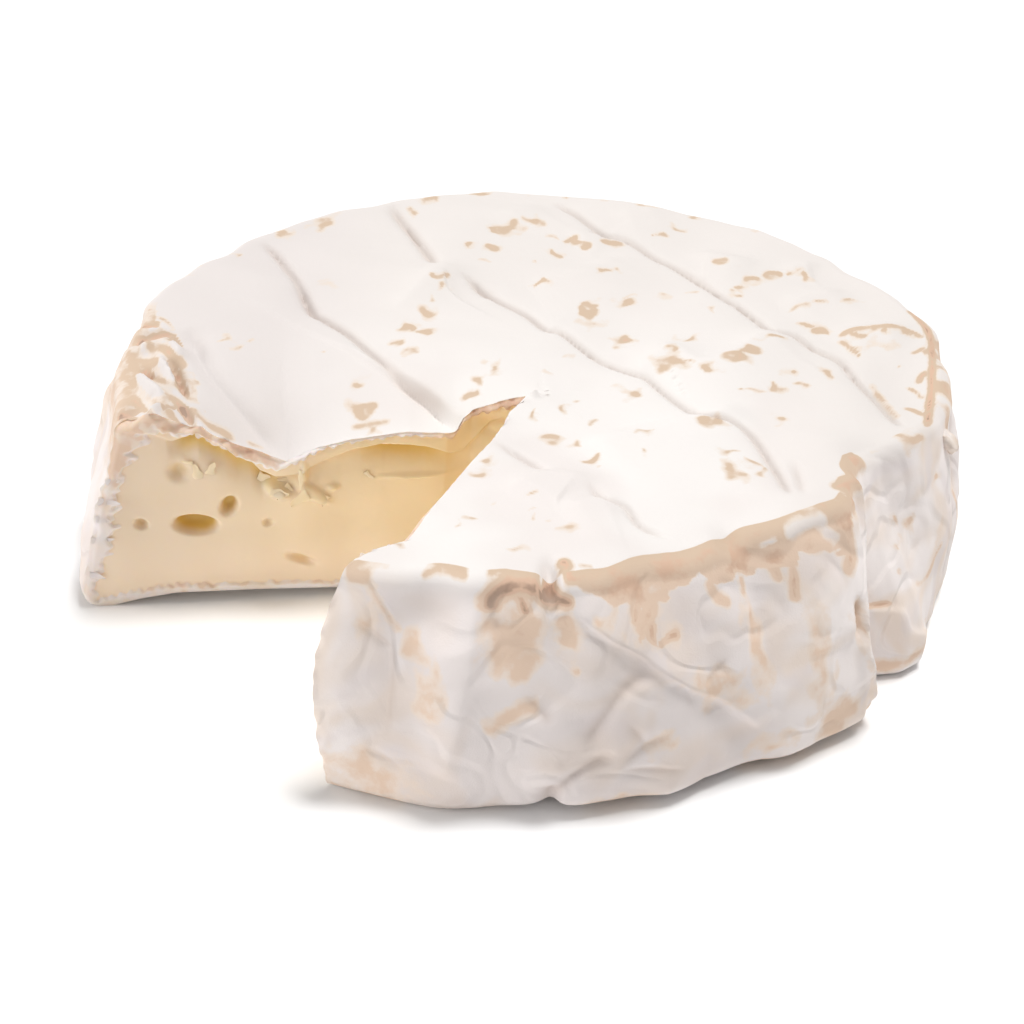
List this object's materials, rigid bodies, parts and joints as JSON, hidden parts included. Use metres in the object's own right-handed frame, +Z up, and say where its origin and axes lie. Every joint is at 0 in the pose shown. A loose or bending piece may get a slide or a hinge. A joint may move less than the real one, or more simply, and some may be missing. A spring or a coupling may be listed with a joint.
{
  "type": "camembert cheese",
  "caption": "Round soft-ripened cheese with a wrinkled white rind and one wedge cut out, showing the pale yellow paste.",
  "frame": {"origin": "middle of the bounding box, on the surface that the cheese rests on", "axes": "+Z up through the flat faces, -Y towards the front of the picture, +X to its right; the missing wedge opens towards -X and -Y"},
  "size_m": [0.1138, 0.1152, 0.0291],
  "materials": {
    "rind": "soft white mould rind with beige patches, matte",
    "paste": "pale yellow cheese paste, moist satin"
  },
  "bodies": {
    "root": {"camembert": "rind"}
  },
  "joints": []
}
